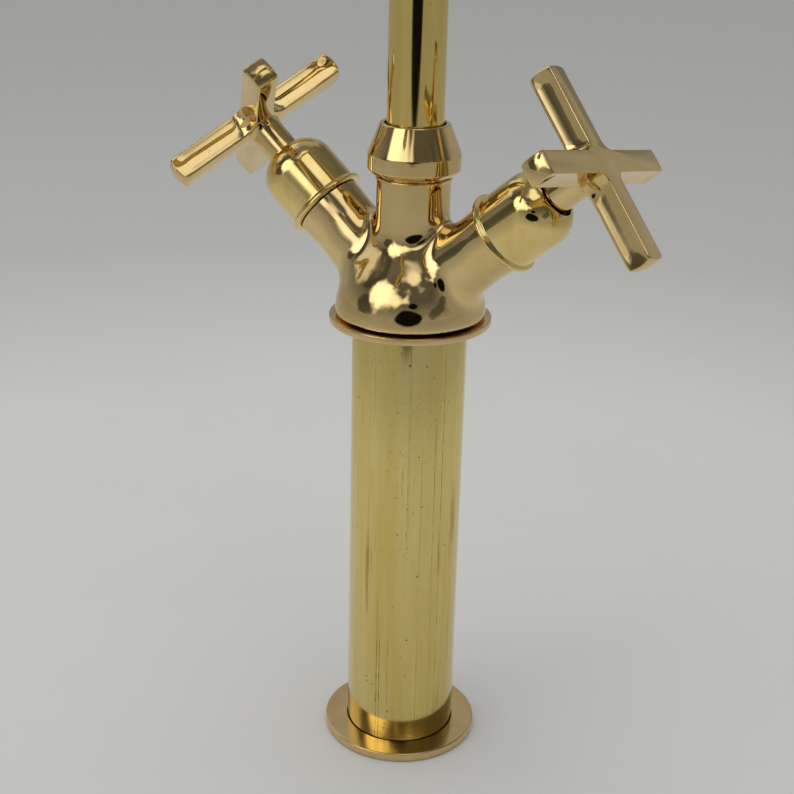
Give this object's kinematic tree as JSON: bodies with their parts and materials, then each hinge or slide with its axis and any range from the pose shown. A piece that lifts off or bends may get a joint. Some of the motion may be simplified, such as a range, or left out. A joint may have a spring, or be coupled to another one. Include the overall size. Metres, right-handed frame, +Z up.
{
  "type": "bathroom mixer faucet",
  "caption": "Tall deck-mounted brass bathroom mixer with a column, a forked body, two cross handles on tilted arms and a swivelling gooseneck spout.",
  "frame": {"origin": "centre of the base's underside, on the column's axis and on the deck surface", "axes": "+Z up along the column, -Y towards the user and along the spout's reach, +X towards the cold valve"},
  "size_m": [0.1763, 0.1692, 0.3866],
  "materials": {
    "cast_brass": "cast and polished, unlacquered, slightly pink",
    "drawn_brass": "drawn and spun tube, bright, fine draw lines and a few tarnish marks",
    "turned_brass": "turned, satin rings",
    "valve_brass": "machined, unpolished",
    "copper": "drawn copper, dull",
    "steel": "stainless, plain",
    "rubber": "moulded black rubber",
    "ceramic": "lapped alumina ceramic, off-white",
    "nylon": "moulded natural nylon"
  },
  "bodies": {
    "mixer": {"base_flange": "turned_brass", "base_seal_ring": "rubber", "column_tube": "drawn_brass", "column_foot": "valve_brass", "upper_flange": "turned_brass", "body_seal_ring": "rubber", "mixer_body": "cast_brass", "spout_collar_nut": "cast_brass", "spout_thrust_washer": "nylon", "hot_riser_tube": "copper", "hot_riser_seal_ring": "rubber", "hot_bonnet_cap": "drawn_brass", "hot_cartridge_housing": "valve_brass", "hot_cartridge_gasket": "rubber", "hot_seat_seal": "rubber", "hot_fixed_ceramic_disc": "ceramic", "cold_riser_tube": "copper", "cold_riser_seal_ring": "rubber", "cold_bonnet_cap": "drawn_brass", "cold_cartridge_housing": "valve_brass", "cold_cartridge_gasket": "rubber", "cold_seat_seal": "rubber", "cold_fixed_ceramic_disc": "ceramic"},
    "spout": {"spout_tube": "drawn_brass", "spout_spigot": "valve_brass", "upper_spigot_ring": "rubber", "lower_spigot_ring": "rubber", "aerator_housing": "cast_brass", "aerator_insert": "nylon", "aerator_washer": "rubber"},
    "hot_valve": {"hot_spindle": "valve_brass", "hot_moving_ceramic_disc": "ceramic", "hot_spindle_ring": "rubber", "hot_spindle_clip": "steel", "hot_cross_handle": "cast_brass", "hot_handle_screw": "steel"},
    "cold_valve": {"cold_spindle": "valve_brass", "cold_moving_ceramic_disc": "ceramic", "cold_spindle_ring": "rubber", "cold_spindle_clip": "steel", "cold_cross_handle": "cast_brass", "cold_handle_screw": "steel"}
  },
  "joints": [
    {"name": "spout_swivel", "type": "hinge", "parent": "mixer", "child": "spout", "pos_m": [0, 0, 0.2142], "axis": [0, 0, 1], "continuous": true},
    {"name": "hot_handle_turn", "type": "hinge", "parent": "mixer", "child": "hot_valve", "pos_m": [0, 0, 0.1707], "axis": [-0.7638, 0, 0.6455], "range_deg": [0, 90]},
    {"name": "cold_handle_turn", "type": "hinge", "parent": "mixer", "child": "cold_valve", "pos_m": [0, 0, 0.1707], "axis": [-0.7638, 0, -0.6455], "range_deg": [0, 90]}
  ]
}
